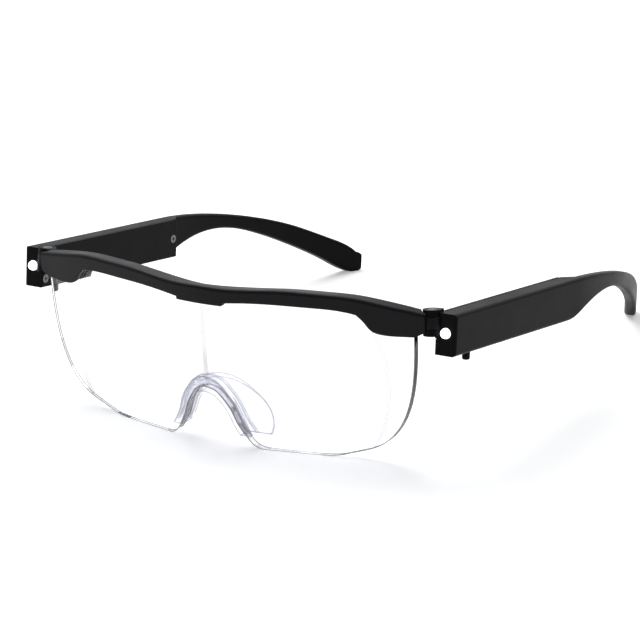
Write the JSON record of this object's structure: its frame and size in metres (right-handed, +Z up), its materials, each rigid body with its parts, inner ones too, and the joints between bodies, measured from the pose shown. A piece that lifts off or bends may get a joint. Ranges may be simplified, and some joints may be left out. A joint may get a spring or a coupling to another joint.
{
  "type": "lighted magnifier glasses",
  "caption": "Magnifying glasses with one clear lens across both eyes, a bowed brow bar, a soft nose saddle and folding temples that hold lamps, batteries and push buttons.",
  "frame": {"origin": "under the middle of the whole, on the surface that the lens and the ear tips stand on", "axes": "+X to the wearer's left, +Y from the lens to the ear tips, +Z up"},
  "size_m": [0.1516, 0.1668, 0.0501],
  "materials": {
    "bar_plastic": "satin moulded nylon, black",
    "temple_plastic": "satin moulded nylon, black",
    "cover_plastic": "finely textured moulded lid, black",
    "button_plastic": "satin black",
    "lens_acrylic": "polished clear acrylic",
    "saddle_silicone": "clear soft silicone, slightly milky",
    "lamp_resin": "clear epoxy, lit white",
    "screw_steel": "small machine screws, nickel plated",
    "lead_wire": "tinned wire",
    "board_laminate": "green solder mask",
    "switch_plastic": "moulded black",
    "plunger_plastic": "moulded off-white",
    "cell_can": "nickel plated steel",
    "contact_strip": "sprung brass strip"
  },
  "bodies": {
    "front_frame": {"brow_bar": "bar_plastic", "magnifier_lens": "lens_acrylic", "nose_saddle": "saddle_silicone"},
    "left_temple": {"left_temple_shell": "temple_plastic", "left_temple_cover": "cover_plastic", "left_cover_screws": "screw_steel", "left_hinge_screw": "screw_steel", "left_led": "lamp_resin", "left_led_leads": "lead_wire", "left_circuit_board": "board_laminate", "left_switch_body": "switch_plastic", "left_front_cell": "cell_can", "left_rear_cell": "cell_can", "left_inner_contact": "contact_strip", "left_outer_contact": "contact_strip"},
    "left_button": {"left_push_button": "button_plastic", "left_switch_plunger": "plunger_plastic"},
    "right_temple": {"right_temple_shell": "temple_plastic", "right_temple_cover": "cover_plastic", "right_cover_screws": "screw_steel", "right_hinge_screw": "screw_steel", "right_led": "lamp_resin", "right_led_leads": "lead_wire", "right_circuit_board": "board_laminate", "right_switch_body": "switch_plastic", "right_front_cell": "cell_can", "right_rear_cell": "cell_can", "right_inner_contact": "contact_strip", "right_outer_contact": "contact_strip"},
    "right_button": {"right_push_button": "button_plastic", "right_switch_plunger": "plunger_plastic"}
  },
  "joints": [
    {"name": "left_temple_fold", "type": "hinge", "parent": "front_frame", "child": "left_temple", "pos_m": [0.06765, -0.06499, 0.04659], "axis": [-0.0698, 0.1347, 0.9884], "range_deg": [0, 84]},
    {"name": "left_button_press", "type": "slide", "parent": "left_temple", "child": "left_button", "axis": [0, 0.135, 0.9908], "range_m": [0, 0.0004], "stiffness_N_per_m": 900, "springref_m": -0.0009},
    {"name": "right_temple_fold", "type": "hinge", "parent": "front_frame", "child": "right_temple", "pos_m": [-0.06765, -0.06499, 0.04659], "axis": [0.0698, 0.1347, 0.9884], "range_deg": [-56, 0]},
    {"name": "right_button_press", "type": "slide", "parent": "right_temple", "child": "right_button", "axis": [0, 0.135, 0.9908], "range_m": [0, 0.0004], "stiffness_N_per_m": 900, "springref_m": -0.0009}
  ]
}
